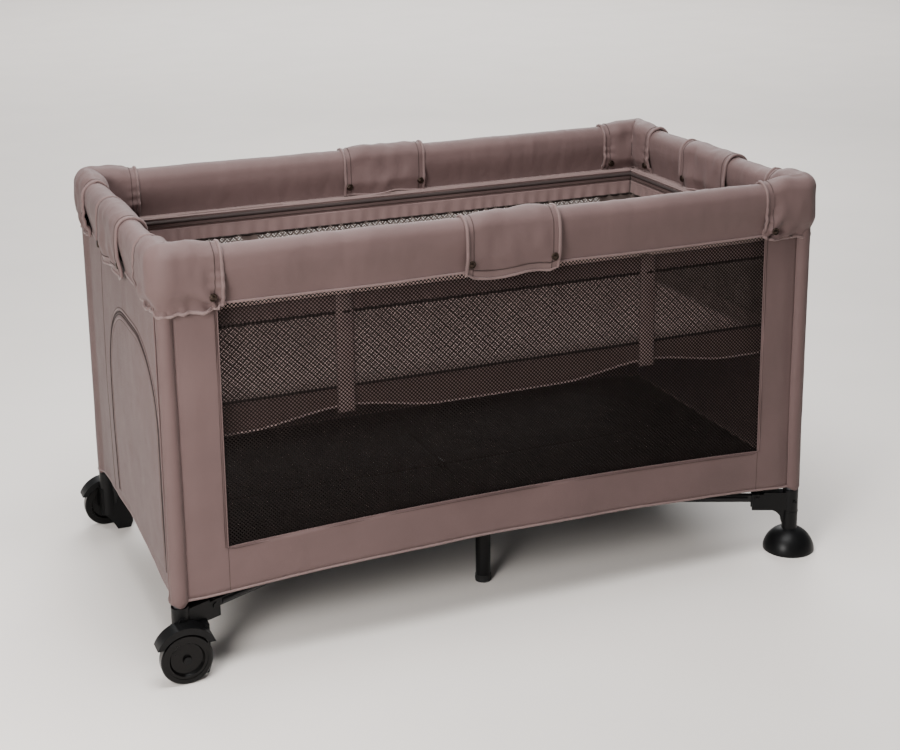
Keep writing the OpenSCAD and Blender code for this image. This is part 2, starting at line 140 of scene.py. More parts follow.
class Piece:
    """Gathers grids, tubes and snaps into one mesh object."""

    def __init__(self, name):
        self.name = name
        self.verts = []
        self.faces = []
        self.slots = []
        self.materials = []
        self.area = 0.0
        self.trim = None

    def material(self, mat):
        if mat not in self.materials:
            self.materials.append(mat)
        return self.materials.index(mat)

    def grid(self, points, mat, ring=False, keep=None, flip=False):
        """points[i, j] joined by quads; ring closes j; keep[i, j] is False for the cells left out."""
        points = np.asarray(points, float)
        n, m = points.shape[:2]
        start = len(self.verts)
        self.verts.extend(points.reshape(-1, 3).tolist())
        slot = self.material(mat)
        if not ring:
            diagonals = points[1:, 1:] - points[:-1, :-1], points[1:, :-1] - points[:-1, 1:]
            cells = np.linalg.norm(np.cross(*diagonals), axis=-1) / 2
            self.area += float((cells if keep is None else cells * keep).sum())
        for i in range(n - 1):
            for j in range(m if ring else m - 1):
                if keep is not None and not keep[i, j]:
                    continue
                k = (j + 1) % m
                row, after = start + i * m, start + (i + 1) * m
                quad = [row + j, row + k, after + k, after + j]
                self.faces.append(quad[::-1] if flip else quad)
                self.slots.append(slot)

    def cap(self, ring_points, mat, flip=False):
        start = len(self.verts)
        self.verts.extend(np.asarray(ring_points, float).tolist())
        face = list(range(start, len(self.verts)))
        self.faces.append(face[::-1] if flip else face)
        self.slots.append(self.material(mat))

    def trimming(self):
        """Piping, stitching and snaps go in a piece of their own that moves with the cloth."""
        if self.trim is None:
            self.trim = Piece(self.name + "_trim")
        return self.trim

    def tube(self, path, radius, mat, sides=8, closed=False):
        self.trimming().own_tube(path, radius, mat, sides, closed)

    def own_tube(self, path, radius, mat, sides, closed):
        path = np.asarray(path, float)
        n = len(path)
        ahead = np.roll(path, -1, 0) - np.roll(path, 1, 0)
        if not closed:
            ahead[0] = path[1] - path[0]
            ahead[-1] = path[-1] - path[-2]
        ahead /= np.linalg.norm(ahead, axis=1)[:, None]
        ref = np.array([0.0, 0.0, 1.0]) if abs(ahead[0][2]) < 0.9 else np.array([1.0, 0.0, 0.0])
        rings = []
        side = np.cross(ahead[0], ref)
        for k in range(n):
            side = side - ahead[k] * side.dot(ahead[k])
            side /= np.linalg.norm(side)
            up = np.cross(side, ahead[k])
            a = np.arange(sides) * 2 * math.pi / sides
            rings.append(path[k] + radius * (np.cos(a)[:, None] * side + np.sin(a)[:, None] * up))
        if closed:
            rings.append(rings[0])
        self.grid(rings, mat, ring=True)
        if not closed:
            self.cap(rings[0], mat)
            self.cap(rings[-1], mat, flip=True)

    def snap(self, centre, normal, mat):
        """A pressed metal snap: a rolled rim round a shallow dome."""
        radius = 6.8 * MM
        normal = np.asarray(normal, float)
        normal /= np.linalg.norm(normal)
        side = np.cross(normal, [0.3, 0.2, 1.0])
        side /= np.linalg.norm(side)
        up = np.cross(normal, side)
        rim = [(1.0, -0.15), (1.02, 0.12), (0.9, 0.3), (0.74, 0.26), (0.62, 0.14)]
        dome = [(0.5, 0.24), (0.25, 0.36), (0.02, 0.4)]
        a = np.arange(20) * 2 * math.pi / 20
        circle = np.cos(a)[:, None] * side + np.sin(a)[:, None] * up
        rings = [np.asarray(centre) + radius * (r * circle + h * normal) for r, h in rim + dome]
        trim = self.trimming()
        trim.grid(rings, mat, ring=True, flip=True)
        trim.cap(rings[-1], mat, flip=True)

    def make(self, body, replaced=(), slot=SLOT, thick=0.0, offset=0.0, fold=None):
        """Builds the cloth and its trim. fold, the squash's axis, anchor and share, only gives each piece a
        mesh of its own; nothing squashes it.
        """
        made = [self.build(body, slot, replaced, thick, offset)]
        if self.trim is not None:
            made.append(self.trim.build(body, slot, (), 0, 0))
        for piece in made:
            if fold is not None:
                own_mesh(piece)

    def build_trim(self, body, fold=None):
        """For a piece that is only piping or stitching."""
        made = self.trim.build(body, SLOT, (), 0, 0)
        if fold is not None:
            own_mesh(made)

    def build(self, body, slot, replaced, thick, offset):
        mesh = bpy.data.meshes.new(self.name)
        mesh.from_pydata(self.verts, [], self.faces)
        for mat in self.materials:
            mesh.materials.append(mat)
        mesh.polygons.foreach_set("material_index", self.slots)
        mesh.polygons.foreach_set("use_smooth", [True] * len(self.faces))
        mesh.validate()
        mesh.update()
        piece = bpy.data.objects.new(self.name, mesh)
        bpy.context.scene.collection.objects.link(piece)
        if thick:
            bpy.context.view_layer.objects.active = piece
            solid = piece.modifiers.new("cloth_thickness", "SOLIDIFY")
            solid.thickness = thick
            solid.offset = offset
            solid.use_even_offset = False
            apply_modifiers(piece)
        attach(piece, body)
        if replaced:
            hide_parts(*replaced)
        return piece


def apply_modifiers(piece):
    bpy.context.view_layer.update()
    done = piece.evaluated_get(bpy.context.evaluated_depsgraph_get())
    mesh = bpy.data.meshes.new_from_object(done)
    piece.modifiers.clear()
    piece.data = mesh


def resample(points, step):
    """The polyline again, with points about step apart."""
    points = np.asarray(points, float)
    along = np.concatenate([[0], np.cumsum(np.linalg.norm(np.diff(points, axis=0), axis=1))])
    at = np.linspace(0, along[-1], max(3, int(along[-1] / step) + 1))
    return np.stack([np.interp(at, along, points[:, k]) for k in range(points.shape[1])], axis=1)


# ---- materials ----

class Nodes:
    """A material's node tree, with short calls for the nodes that the materials below share."""

    def __init__(self, name):
        self.mat = bpy.data.materials.new(name)
        self.mat.use_nodes = True
        self.tree = self.mat.node_tree
        self.shader = next(n for n in self.tree.nodes if n.type == "BSDF_PRINCIPLED")
        self.coord = self.tree.nodes.new("ShaderNodeTexCoord").outputs["Object"]

    def node(self, kind, **values):
        n = self.tree.nodes.new(kind)
        for key, value in values.items():
            if hasattr(n, key) and key not in n.inputs:
                setattr(n, key, value)
            else:
                n.inputs[key].default_value = value
        return n

    def link(self, a, b):
        self.tree.links.new(a, b)

    def scaled(self, scale):
        m = self.node("ShaderNodeMapping")
        m.inputs["Scale"].default_value = scale
        self.link(self.coord, m.inputs["Vector"])
        return m.outputs[0]

    def noise(self, scale, detail=2.0, stretch=(1, 1, 1)):
        n = self.node("ShaderNodeTexNoise", Scale=scale, Detail=detail)
        self.link(self.scaled(stretch), n.inputs["Vector"])
        return n.outputs["Fac"]

    def ramp(self, fac, stops):
        n = self.node("ShaderNodeValToRGB")
        while len(n.color_ramp.elements) < len(stops):
            n.color_ramp.elements.new(0.5)
        for e, (at, colour) in zip(n.color_ramp.elements, stops):
            e.position = at
            e.color = (*colour, 1)
        self.link(fac, n.inputs["Fac"])
        return n.outputs["Color"]

    def math(self, op, a, b=None):
        n = self.node("ShaderNodeMath", operation=op)
        for k, v in enumerate((a, b)):
            if v is None:
                continue
            if isinstance(v, (int, float)):
                n.inputs[k].default_value = v
            else:
                self.link(v, n.inputs[k])
        return n.outputs[0]

    def bump(self, height, strength, distance, before=None):
        n = self.node("ShaderNodeBump", Strength=strength, Distance=distance)
        self.link(height, n.inputs["Height"])
        if before is not None:
            self.link(before, n.inputs["Normal"])
        return n.outputs["Normal"]

    def colour_range(self, fac, base, spread):
        low = tuple(c * (1 - spread) for c in base)
        high = tuple(min(1, c * (1 + spread)) for c in base)
        return self.ramp(fac, [(0.3, low), (0.7, high)])


def fabric(name, base, rough=0.60, sheen=0.07, weave=0.55 * MM):
    """Woven polyester: a fine plain weave with broad tone changes and a soft sheen."""
    m = Nodes(name)
    m.link(m.colour_range(m.noise(9, 3), base, 0.07), m.shader.inputs["Base Color"])
    k = math.pi / weave
    parts = m.node("ShaderNodeSeparateXYZ")
    m.link(m.scaled((k, k, k)), parts.inputs[0])
    waves = [m.math("SINE", parts.outputs[i]) for i in range(3)]
    thread = m.math("ADD", m.math("ABSOLUTE", m.math("MULTIPLY", waves[0], waves[2])),
                    m.math("ABSOLUTE", m.math("MULTIPLY", waves[1], waves[2])))
    crease = m.bump(m.noise(55, 4, (1, 1, 0.6)), 0.25, 0.003)
    m.link(m.bump(thread, 0.35, 0.0002, crease), m.shader.inputs["Normal"])
    rough_map = m.node("ShaderNodeMapRange")
    rough_map.inputs["To Min"].default_value = rough - 0.08
    rough_map.inputs["To Max"].default_value = rough + 0.1
    m.link(m.noise(30, 2), rough_map.inputs["Value"])
    m.link(rough_map.outputs[0], m.shader.inputs["Roughness"])
    m.shader.inputs["Sheen Weight"].default_value = sheen
    m.shader.inputs["Sheen Roughness"].default_value = 0.45
    m.shader.inputs["Sheen Tint"].default_value = (0.95, 0.88, 0.87, 1)
    m.shader.inputs["Specular IOR Level"].default_value = 0.20
    return m.mat


def netting(name, base, across, pitch, cover):
    """Knitted net: diagonal threads with small holes between them, along X (across 0) or Y (across 1)."""
    m = Nodes(name)
    m.shader.inputs["Roughness"].default_value = 0.8
    m.shader.inputs["Specular IOR Level"].default_value = 0.08
    m.link(m.colour_range(m.noise(40, 2), base, 0.15), m.shader.inputs["Base Color"])
    parts = m.node("ShaderNodeSeparateXYZ")
    m.link(m.scaled((2 * math.pi / pitch,) * 3), parts.inputs[0])
    u = parts.outputs[across]
    v = parts.outputs[2]
    a = m.math("COSINE", m.math("MULTIPLY", m.math("ADD", u, v), 0.5))
    b = m.math("COSINE", m.math("MULTIPLY", m.math("SUBTRACT", u, v), 0.5))
    hole = m.math("ABSOLUTE", m.math("MULTIPLY", a, b))
    edge = m.node("ShaderNodeMapRange")
    edge.interpolation_type = "SMOOTHSTEP"
    edge.inputs["From Min"].default_value = cover - 0.09
    edge.inputs["From Max"].default_value = cover + 0.09
    m.link(hole, edge.inputs["Value"])
    m.link(m.bump(hole, 0.6, 0.0008), m.shader.inputs["Normal"])
    clear = m.node("ShaderNodeBsdfTransparent")
    mix = m.node("ShaderNodeMixShader")
    m.link(edge.outputs[0], mix.inputs[0])
    m.link(m.shader.outputs[0], mix.inputs[1])
    m.link(clear.outputs[0], mix.inputs[2])
    out = next(n for n in m.tree.nodes if n.type == "OUTPUT_MATERIAL")
    m.link(mix.outputs[0], out.inputs["Surface"])
    return m.mat


def moulded(name, base, rough, grain=900, metallic=0.0, shine=0.5):
    """Moulded plastic or painted metal: fine grain, faint scuffs and uneven gloss."""
    m = Nodes(name)
    m.link(m.colour_range(m.noise(14, 3), base, 0.08), m.shader.inputs["Base Color"])
    gloss = m.node("ShaderNodeMapRange")
    gloss.inputs["To Min"].default_value = max(0.05, rough - 0.08)
    gloss.inputs["To Max"].default_value = rough + 0.1
    m.link(m.noise(45, 5), gloss.inputs["Value"])
    m.link(gloss.outputs[0], m.shader.inputs["Roughness"])
    m.link(m.bump(m.noise(grain, 2), 0.12, 0.0004), m.shader.inputs["Normal"])
    m.shader.inputs["Metallic"].default_value = metallic
    m.shader.inputs["Specular IOR Level"].default_value = shine
    return m.mat


FABRIC = fabric("mauve_fabric", (0.098, 0.062, 0.059))
EDGE = fabric("edge_binding", (0.140, 0.094, 0.089), rough=0.5, sheen=0.2, weave=0.0008)
# Dark lines along seams and stitching: partly thread, partly painted shade in the seams' grooves.
SEAM_SHADE = fabric("seam_shadow", (0.040, 0.026, 0.024), rough=0.8, sheen=0.0)
DARK = fabric("floor_fabric", (0.011, 0.007, 0.006), rough=0.85, sheen=0.0)
TAPE = fabric("zip_tape", (0.135, 0.092, 0.086), rough=0.6)
HEM = fabric("turned_hem", (0.118, 0.077, 0.073), rough=0.55, sheen=0.15)
INNER = fabric("inner_fabric", (0.112, 0.073, 0.067), rough=0.6)
# A lighter copy of the inner fabric: painted light that makes up for the shadow the nets cast on the gathered
# band.
BAND_PAINTED_LIGHT = fabric("gathered_band_painted_light", (0.170, 0.114, 0.108), rough=0.6)
LIGHT_EDGE = fabric("light_binding", (0.36, 0.26, 0.245), rough=0.6)
STRAP = fabric("strap_webbing", (0.26, 0.185, 0.175), rough=0.65, weave=0.0012)
# Nearly white: painted light, standing for light that comes through the net onto the band's upper part.
PAINTED_LIGHT_SHEET = fabric("band_sheet_painted_light", (0.72, 0.53, 0.49), rough=0.7)
QUILT = fabric("mattress_fabric", (0.20, 0.137, 0.127), rough=0.65, weave=0.0009)
ZIP = moulded("zip_teeth", (0.030, 0.022, 0.021), 0.7, shine=0.12)
NET_X = netting("net_long_sides", (0.008, 0.0055, 0.005), 0, pitch=0.0068, cover=0.50)
NET_INNER_X = netting("net_inner_long", (0.115, 0.089, 0.080), 0, pitch=0.0043, cover=0.64)
NET_INNER_Y = netting("net_inner_short", (0.115, 0.089, 0.080), 1, pitch=0.0043, cover=0.64)
BRONZE = moulded("snap_metal", (0.035, 0.024, 0.018), 0.26, metallic=0.85, shine=0.4)
BLACK = moulded("black_plastic", (0.003, 0.003, 0.0032), 0.38, shine=0.15)
WHEEL = moulded("wheel_plastic", (0.0022, 0.002, 0.002), 0.24, shine=0.17)
TUBE = moulded("arm_paint", (0.007, 0.007, 0.0075), 0.33, metallic=0.2, shine=0.25)
LEG = moulded("leg_paint", (0.06, 0.06, 0.065), 0.35, metallic=0.6)
RAIL = moulded("rail_steel", (0.26, 0.26, 0.27), 0.38, metallic=0.9)
RUBBER = moulded("foot_rubber", (0.009, 0.009, 0.009), 0.6, grain=400, shine=0.25)
BUTTON = moulded("button_plastic", (0.16, 0.16, 0.165), 0.35)


# ---- local frames: a corner's u runs in along X and v in along Y; a side's s runs along it, t outward ----

def at_corner(corner, u, v, z):
    sx, sy = CORNERS[corner]
    return np.stack(np.broadcast_arrays(sx * (LX - u), sy * (LY - v), z), axis=-1)


def at_side(side, s, t, z):
    """s runs along +X on the front and back, +Y on the left and right; t is outward from the rail axis."""
    if side in ("front", "back"):
        k = -1 if side == "front" else 1
        return np.stack(np.broadcast_arrays(s, k * (LY + t), z), axis=-1)
    k = -1 if side == "left" else 1
    return np.stack(np.broadcast_arrays(k * (LX + t), s, z), axis=-1)


def outward(side):
    """The side's outward direction, one metre long."""
    return at_side(side, 0.0, 1.0, 0.0) - at_side(side, 0.0, 0.0, 0.0)


def side_half(side):
    return LX if side in ("front", "back") else LY


def pad_profile(half, low, high, n=44, pinch=0.55, turn=0.3):
    """Cross-section of a padded rail cover, as t and z: from the inner hem over the top to the outer hem."""
    a = np.linspace(0, 1, n)
    wide = half * (pinch + (1 - pinch) * smooth(np.minimum(a, 1 - a) / turn))
    top_r = half * 0.98
    straight = high - top_r - low
    length = 2 * straight + math.pi * top_r
    d = a * length
    over = (d - straight) / top_r
    t = np.where(d < straight, -1.0, np.where(d > length - straight, 1.0, -np.cos(over)))
    arch = high - top_r + top_r * np.sin(np.clip(over, 0, math.pi))
    z = np.where(d < straight, low + d, np.where(d > length - straight, low + (length - d), arch))
    swell = 1 + 0.10 * np.sin(np.clip((z - low) / (high - low), 0, 1) * math.pi)
    return t * wide * swell, z


def wrinkle(p, amount, size, seed):
    return amount * (noise(p, size, seed) + 0.45 * noise(p, np.asarray(size) * 0.45, seed + 7))


def puff(points, amount):
    """Moves a grid's points along its own normals by amount."""
    du = np.gradient(points, axis=0)
    dv = np.gradient(points, axis=1)
    nrm = np.cross(du, dv)
    size = np.linalg.norm(nrm, axis=-1, keepdims=True)
    return points + nrm / np.maximum(size, 1e-12) * amount[..., None]


# ---- rail covers ----

def rail_cover(side, half):
    """half is -1 or 1: which end of the side it covers."""
    name = {"front": ("front_left", "front_right"), "back": ("back_left", "back_right"),
            "left": ("left_front", "left_back"), "right": ("right_front", "right_back")}[side][half > 0]
    end = side_half(side) - CORNER_LEN + UNDER_CORNER
    start = SLEEVE_HALF - UNDER_SLEEVE
    n = max(16, int((end - start) / (5 * MM)))
    s = np.linspace(start, end, n) * half
    t, z = pad_profile(21.5 * MM, COVER_LOW + 2 * MM, COVER_HIGH, 48)
    S, T = np.meshgrid(s, t, indexing="ij")
    Z = np.broadcast_to(z, S.shape)
    P = at_side(side, S, T, Z)
    along = np.abs(S)
    column = P * [1, 1, 0.12]
    ripple = noise(column, 0.016, 3) + 0.6 * noise(column, 0.007, 4)
    ripple = ripple * np.where(T < 0, 1.3 * MM, 0.45 * MM) * (0.65 + 0.35 * noise(P, (0.15, 0.15, 0.15), 5))
    pull = 1.6 * MM * noise(P, (0.12, 0.12, 0.09), 11)
    fine = wrinkle(P, 0.6 * MM, (0.03, 0.03, 0.05), 17)
    sag = -2.0 * MM * np.sin((along - start) / (end - start) * math.pi)
    P[..., 2] += sag * (Z < RAIL_Z)
    sign = half if side in ("front", "right") else -half
    P = puff(P, sign * (ripple + pull + fine))
    piece = Piece("rail_cover_cloth_" + name)
    piece.grid(P, FABRIC, flip=sign < 0)
    low = P[:, [0, -1]]
    floor_strip = np.stack([low[:, 0], low.mean(axis=1) + [0, 0, 1 * MM], low[:, 1]], axis=1)
    piece.grid(floor_strip, FABRIC, flip=sign > 0)
    for ring, order in ((P[0], sign > 0), (P[-1], sign < 0)):
        piece.cap(ring, FABRIC, flip=order)
    for edge in (0, -1):
        path = P[:, edge].copy()
        path[:, 2] -= 0.6 * MM
        piece.tube(path, 2.3 * MM, EDGE)
    piece.make("rail_" + name, ["rail_cover_" + name], fold=((0, 0, 1), (0, 0, RAIL_Z), 0.35))


def side_hems(piece, P):
    """Turned hems at both ends of a cover's grid, each with a dark line of stitching beside it, partly thread
    and partly painted shade in the seam.
    """
    for end, stitched in ((0, 3), (-1, -4)):
        piece.tube(P[end], TURNED_R, HEM)
        piece.tube(P[stitched], SEAM_R, SEAM_SHADE, sides=5)


# ---- corner covers ----

def corner_path(reach, r, step):
    """Centre line over a corner, from its end along X round to its end along Y, as u and v."""
    n = max(6, int((reach - r) / step))
    first = [(reach + (r - reach) * k / n, 0.0) for k in range(n)]
    m = 14
    arc = [(r - r * math.sin(a), r - r * math.cos(a)) for a in np.linspace(0, math.pi / 2, m)]
    last = [(0.0, r + (reach - r) * k / n) for k in range(1, n + 1)]
    return np.array(first + arc + last)


def corner_cover(corner):
    path = corner_path(CORNER_LEN, 7 * MM, 4 * MM)
    ahead = np.gradient(path, axis=0)
    ahead /= np.linalg.norm(ahead, axis=1)[:, None]
    out = np.stack([-ahead[:, 1], ahead[:, 0]], axis=1)
    out = np.where((out @ np.array([1.0, 1.0]))[:, None] > 0, -out, out)
    along = np.linspace(-1, 1, len(path))
    bulge = 1 - 0.10 * smooth((np.abs(along) - 0.72) / 0.28)
    t, z = pad_profile(25.0 * MM, CORNER_HEM + 4 * MM, TOP_Z - 1.5 * MM, 84, pinch=0.6, turn=0.14)
    A, T = np.meshgrid(along, t, indexing="ij")
    T = T * bulge[:, None]
    Z = np.broadcast_to(z, T.shape).copy()
    U = path[:, 0][:, None] + out[:, 0][:, None] * T
    V = path[:, 1][:, None] + out[:, 1][:, None] * T
    # the two inner faces meet in a mitre
    U = np.where(T < 0, np.maximum(U, -T), U)
    V = np.where(T < 0, np.maximum(V, -T), V)
    # hems: the outer one is gathered and drawn up towards both ends
    high = smooth((Z - RAIL_Z + 25 * MM) / (30 * MM))
    Z -= 7.5 * MM * high * smooth((np.abs(A) - 0.55) / 0.45)
    low = smooth((CORNER_HEM + 45 * MM - Z) / (45 * MM))
    outer = T > 0
    run = np.stack([A * 0.1, A * 0, A * 0], axis=-1)
    hem = 2.6 * MM * noise(run, 0.02, 31) + 2.2 * MM * noise(run, 0.007, 32)
    Z += low * np.where(outer, hem + 5 * MM * A ** 4, 10 * MM + hem)
    P = at_corner(corner, U, V, Z)
    sx, sy = CORNERS[corner]
    sign = -1 if sx * sy > 0 else 1
    inner = T < 0
    crease = 1.7 * MM * np.sin(A * 46 + 8 * Z) * np.exp(-(A / 0.3) ** 2)
    crease = crease * smooth((Z - RAIL_Z + 10 * MM) / (20 * MM)) * inner
    gather = 3.6 * MM * noise(P, (0.010, 0.010, 0.03), 4) * smooth((CORNER_HEM + 26 * MM - Z) / (20 * MM))
    pulls = 3.4 * MM * noise(P, (0.042, 0.042, 0.05), 21 + sx + 3 * sy)
    pulls = pulls + 1.5 * MM * noise(P, (0.016, 0.016, 0.03), 9)
    from_end = (1 - np.abs(A)) * CORNER_LEN
    above_hem = np.maximum(Z - CORNER_HEM, 0)
    reach = np.hypot(from_end, above_hem)
    turn = np.arctan2(above_hem, from_end + 1e-6)
    rays = 4.6 * MM * np.sin(turn * 8.5 + 2 * sx + A)
    rays = rays * smooth((80 * MM - reach) / (60 * MM)) * smooth(reach / (12 * MM))
    near_end = smooth((np.abs(A) - 0.6) / 0.25)
    tucks = 2.0 * MM * noise(P, (0.013, 0.013, 0.07), 33) * near_end
    pinches = 1.3 * MM * np.sin(Z / (2.8 * MM) + 3 * A) * smooth((26 * MM - from_end) / (20 * MM))
    pinches = pinches * (0.6 + 0.4 * np.sin(Z / 0.02))
    off_mitre = np.where(inner, smooth((np.minimum(U, V) + 1 * MM) / 0.02), 1)
    P = puff(P, sign * (crease + gather + pulls + tucks + rays * outer + pinches) * off_mitre)
    piece = Piece("corner_cover_cloth_" + corner)
    piece.grid(P, FABRIC, flip=sign < 0)
    side_hems(piece, P)
    piece.tube(P[:, -1], 3.0 * MM, EDGE)
    piece.tube(P[:, 0], 2.2 * MM, EDGE)
    # snaps near the hem: outside on the long side, inside on both
    n = len(path)
    for i, j, normal in ((4, -8, (0, sy, 0)), (4, 7, (0, -sy, 0)), (n - 5, 7, (-sx, 0, 0))):
        piece.snap(P[i, j] + np.array(normal) * 1.2 * MM, normal, BRONZE)
    piece.make("leg_" + corner, ["corner_cover_" + corner], thick=2.0 * MM, offset=-1)


# ---- latch sleeves ----

def latch_sleeve(side):
    s = np.linspace(-SLEEVE_HALF, SLEEVE_HALF, 44)
    t, z = pad_profile(24.6 * MM, CORNER_HEM + 3 * MM, TOP_Z - 5 * MM, 76, pinch=0.75, turn=0.16)
    S, T = np.meshgrid(s, t, indexing="ij")
    Z = np.broadcast_to(z, S.shape).copy()
    f = S / SLEEVE_HALF
    high = smooth((Z - RAIL_Z + 25 * MM) / (30 * MM))
    Z -= 4.5 * MM * high * smooth((np.abs(f) - 0.6) / 0.4)
    low = smooth((CORNER_HEM + 60 * MM - Z) / (60 * MM))
    seed = SIDES.index(side)
    outer = T > 0
    outer_hem = 3 * MM * np.sin(f * 4.2 + seed) - 2 * MM * (1 - f * f)
    outer_hem = outer_hem + 6 * MM * smooth((np.abs(f) - 0.8) / 0.2)
    Z += low * np.where(outer, outer_hem, 14 * MM + 2 * MM * np.sin(f * 5))
    T = T + np.where(outer, 1, -1) * low * (2.5 * MM * np.sin(f * 6 + 1 + seed) + 1.0 * MM)
    P = at_side(side, S, T, Z)
    sign = 1 if side in ("front", "right") else -1
    folds = 1.4 * MM * np.sin(S / 0.011 + 2.5 * noise(P, (0.07, 0.07, 0.1), 30 + seed))
    folds = folds * smooth((RAIL_Z + 5 * MM - Z) / 0.05) * (0.4 + 0.6 * np.abs(f))
    pulls = 3.4 * MM * noise(P, (0.05, 0.05, 0.05), 40 + seed)
    pulls = pulls + 1.4 * MM * noise(P, (0.018, 0.018, 0.03), 44)
    P = puff(P, sign * (folds + pulls))
    piece = Piece("latch_sleeve_cloth_" + side)
    piece.grid(P[:, :-4], FABRIC, flip=sign < 0)
    piece.grid(P[:, -5:], HEM, flip=sign < 0)
    normal = outward(side)
    piece.tube(P[:, -5] + normal * 0.3 * MM, 0.6 * MM, SEAM_SHADE, sides=5)
    side_hems(piece, P)
    piece.tube(P[:, -1], 2.4 * MM, EDGE)
    piece.tube(P[:, 0], 2.2 * MM, EDGE)
    for i in (2, 41):
        for j, way in ((-8, 1), (7, -1)):
            piece.snap(P[i, j] + normal * way * 1.5 * MM, normal * way, BRONZE)
    axis = (1, 0, 0) if side in ("front", "back") else (0, 1, 0)
    piece.make("latch_" + side, ["latch_sleeve_" + side], thick=1.8 * MM, offset=-1,
               fold=(axis, (0, 0, 0), 0.55))


# ---- walls ----

def hem_at(f):
    return HEM_Z + 3 * MM + HEM_RISE * (1 - f * f)


def window_at(f):
    return WINDOW_Z + WINDOW_RISE * (1 - f * f)


WALL_TOP = COVER_LOW + 14 * MM


def post_sleeve(corner):
    """Fabric tube round a leg, with the seam that joins it to the walls."""
    z = np.linspace(HEM_Z - 2 * MM, CORNER_HEM + 25 * MM, 90)
    a = np.linspace(0, 2 * math.pi, 29)[:-1]
    Z, A = np.meshgrid(z, a, indexing="ij")
    r = POST_R - 0.4 * MM + 0.5 * MM * np.sin(A * 2 + Z * 9)
    P = at_corner(corner, -r * np.cos(A), -r * np.sin(A), Z)
    r = r + wrinkle(P, 0.5 * MM, (0.03, 0.03, 0.05), 50)
    r = r + 0.8 * MM * noise(P, (0.05, 0.05, 0.02), 51) * smooth((0.2 - Z) / 0.05)
    P = at_corner(corner, -r * np.cos(A), -r * np.sin(A), Z)
    P[0, :, 2] += 3 * MM * np.sin(a * 3)
    piece = Piece("post_sleeve_cloth_" + corner)
    piece.grid(P, FABRIC, ring=True)
    piece.area = 2 * math.pi * POST_R * (z[-1] - z[0])
    piece.make("leg_" + corner, thick=BAND_THICK, offset=-1)


def long_wall(side):
    body = {"front": "leg_front_left", "back": "leg_back_left"}[side]
    k = -1 if side == "front" else 1
    half = LX - POST_R + 3 * MM
    s = np.unique(np.concatenate([np.linspace(-half, -WINDOW_X, 12), np.linspace(-WINDOW_X, WINDOW_X, 120),
                                  np.linspace(WINDOW_X, half, 12)]))
    f = s / half
    rows = 10
    tall = 40
    z = np.zeros((len(s), rows + tall))
    for i, fi in enumerate(f):
        z[i, :rows] = np.linspace(hem_at(fi), window_at(fi), rows)
        z[i, rows:] = np.linspace(window_at(fi), WALL_TOP, tall + 1)[1:]
    S = np.broadcast_to(s[:, None], z.shape)
    soft = np.minimum(1, np.minimum((half - np.abs(S)) / 0.02, (z - HEM_Z) / 0.02 + 0.4))
    base = at_side(side, S, WALL_OFF, z)
    T = 1.6 * MM * noise(base, (0.13, 0.13, 0.1), 60) + 0.6 * MM * noise(base, (0.03, 0.03, 0.05), 61)
    T = WALL_OFF + soft * T
    T = T - 3.0 * MM * smooth((0.03 - (half - np.abs(S))) / 0.03)
    band = smooth((window_at(S / half) - z) / 0.03)
    T = T + band * 1.2 * MM * np.sin(S / 0.045 + 2 * noise(base, (0.2, 0.2, 0.2), 63))
    P = at_side(side, S, T, z)
    mid_s = (S[:-1, :-1] + S[1:, 1:]) / 2
    mid_z = (z[:-1, :-1] + z[1:, 1:]) / 2
    keep = (np.abs(mid_s) > WINDOW_X) | (mid_z < window_at(mid_s / half))
    piece = Piece("wall_cloth_" + side)
    piece.grid(P, FABRIC, keep=keep, flip=k > 0)
    hem = P[:, 0]
    piece.tube(hem, 2.4 * MM, EDGE)
    piece.tube(P[:, 2], STITCH_R, SEAM_SHADE, sides=5)
    for edge in (-WINDOW_X, WINDOW_X):
        line = P[np.argmin(np.abs(s - edge)), :rows]
        piece.tube(line + outward(side) * 0.5 * MM, 0.6 * MM, SEAM_SHADE, sides=5)
    piece.make(body, ["wall_" + side], thick=WALL_THICK, fold=LONG_FOLD)
    # net behind the frame
    net = Piece("wall_net_" + side)
    sn = np.linspace(-WINDOW_X - 6 * MM, WINDOW_X + 6 * MM, 100)
    t = np.linspace(0, 1, 44)
    SN, TN = np.meshgrid(sn, t, indexing="ij")
    z0 = window_at(SN / half) - 6 * MM
    ZN = z0 + (WALL_TOP + 2 * MM - z0) * TN
    Q = at_side(side, SN, WALL_OFF - 2.5 * MM, ZN)
    slack = np.minimum(1, (WINDOW_X - np.abs(SN)) / 0.05 + 0.2)
    off = WALL_OFF - 2.2 * MM + slack * 2.2 * MM * noise(Q, (0.16, 0.16, 0.12), 70)
    net.grid(at_side(side, SN, off, ZN), NET_X, flip=k > 0)
    net.make(body, fold=LONG_FOLD)
    # binding round the window
    binding = Piece("window_binding_" + side)
    low = [(x, window_at(x / half) + 0.5 * MM) for x in np.linspace(-WINDOW_X, WINDOW_X, 90)]
    out_t = WALL_OFF + 1.2 * MM
    route = [(-WINDOW_X, zz) for zz in np.linspace(WALL_TOP, low[0][1], 40)] + low[1:-1]
    route += [(WINDOW_X, zz) for zz in np.linspace(low[-1][1], WALL_TOP, 40)]
    route = np.array(route)
    binding.tube(at_side(side, route[:, 0], out_t - 0.6 * MM, route[:, 1]), 1.1 * MM, FABRIC, sides=6)
    upright = np.abs(route[:, 0]) > WINDOW_X - 1 * MM
    inset = route + np.stack([np.sign(route[:, 0]) * 5 * MM * upright, -5 * MM * ~upright], axis=1)
    binding.tube(at_side(side, inset[:, 0], out_t - 0.3 * MM, inset[:, 1]), STITCH_R, SEAM_SHADE, sides=5)
    binding.build_trim(body, LONG_FOLD)


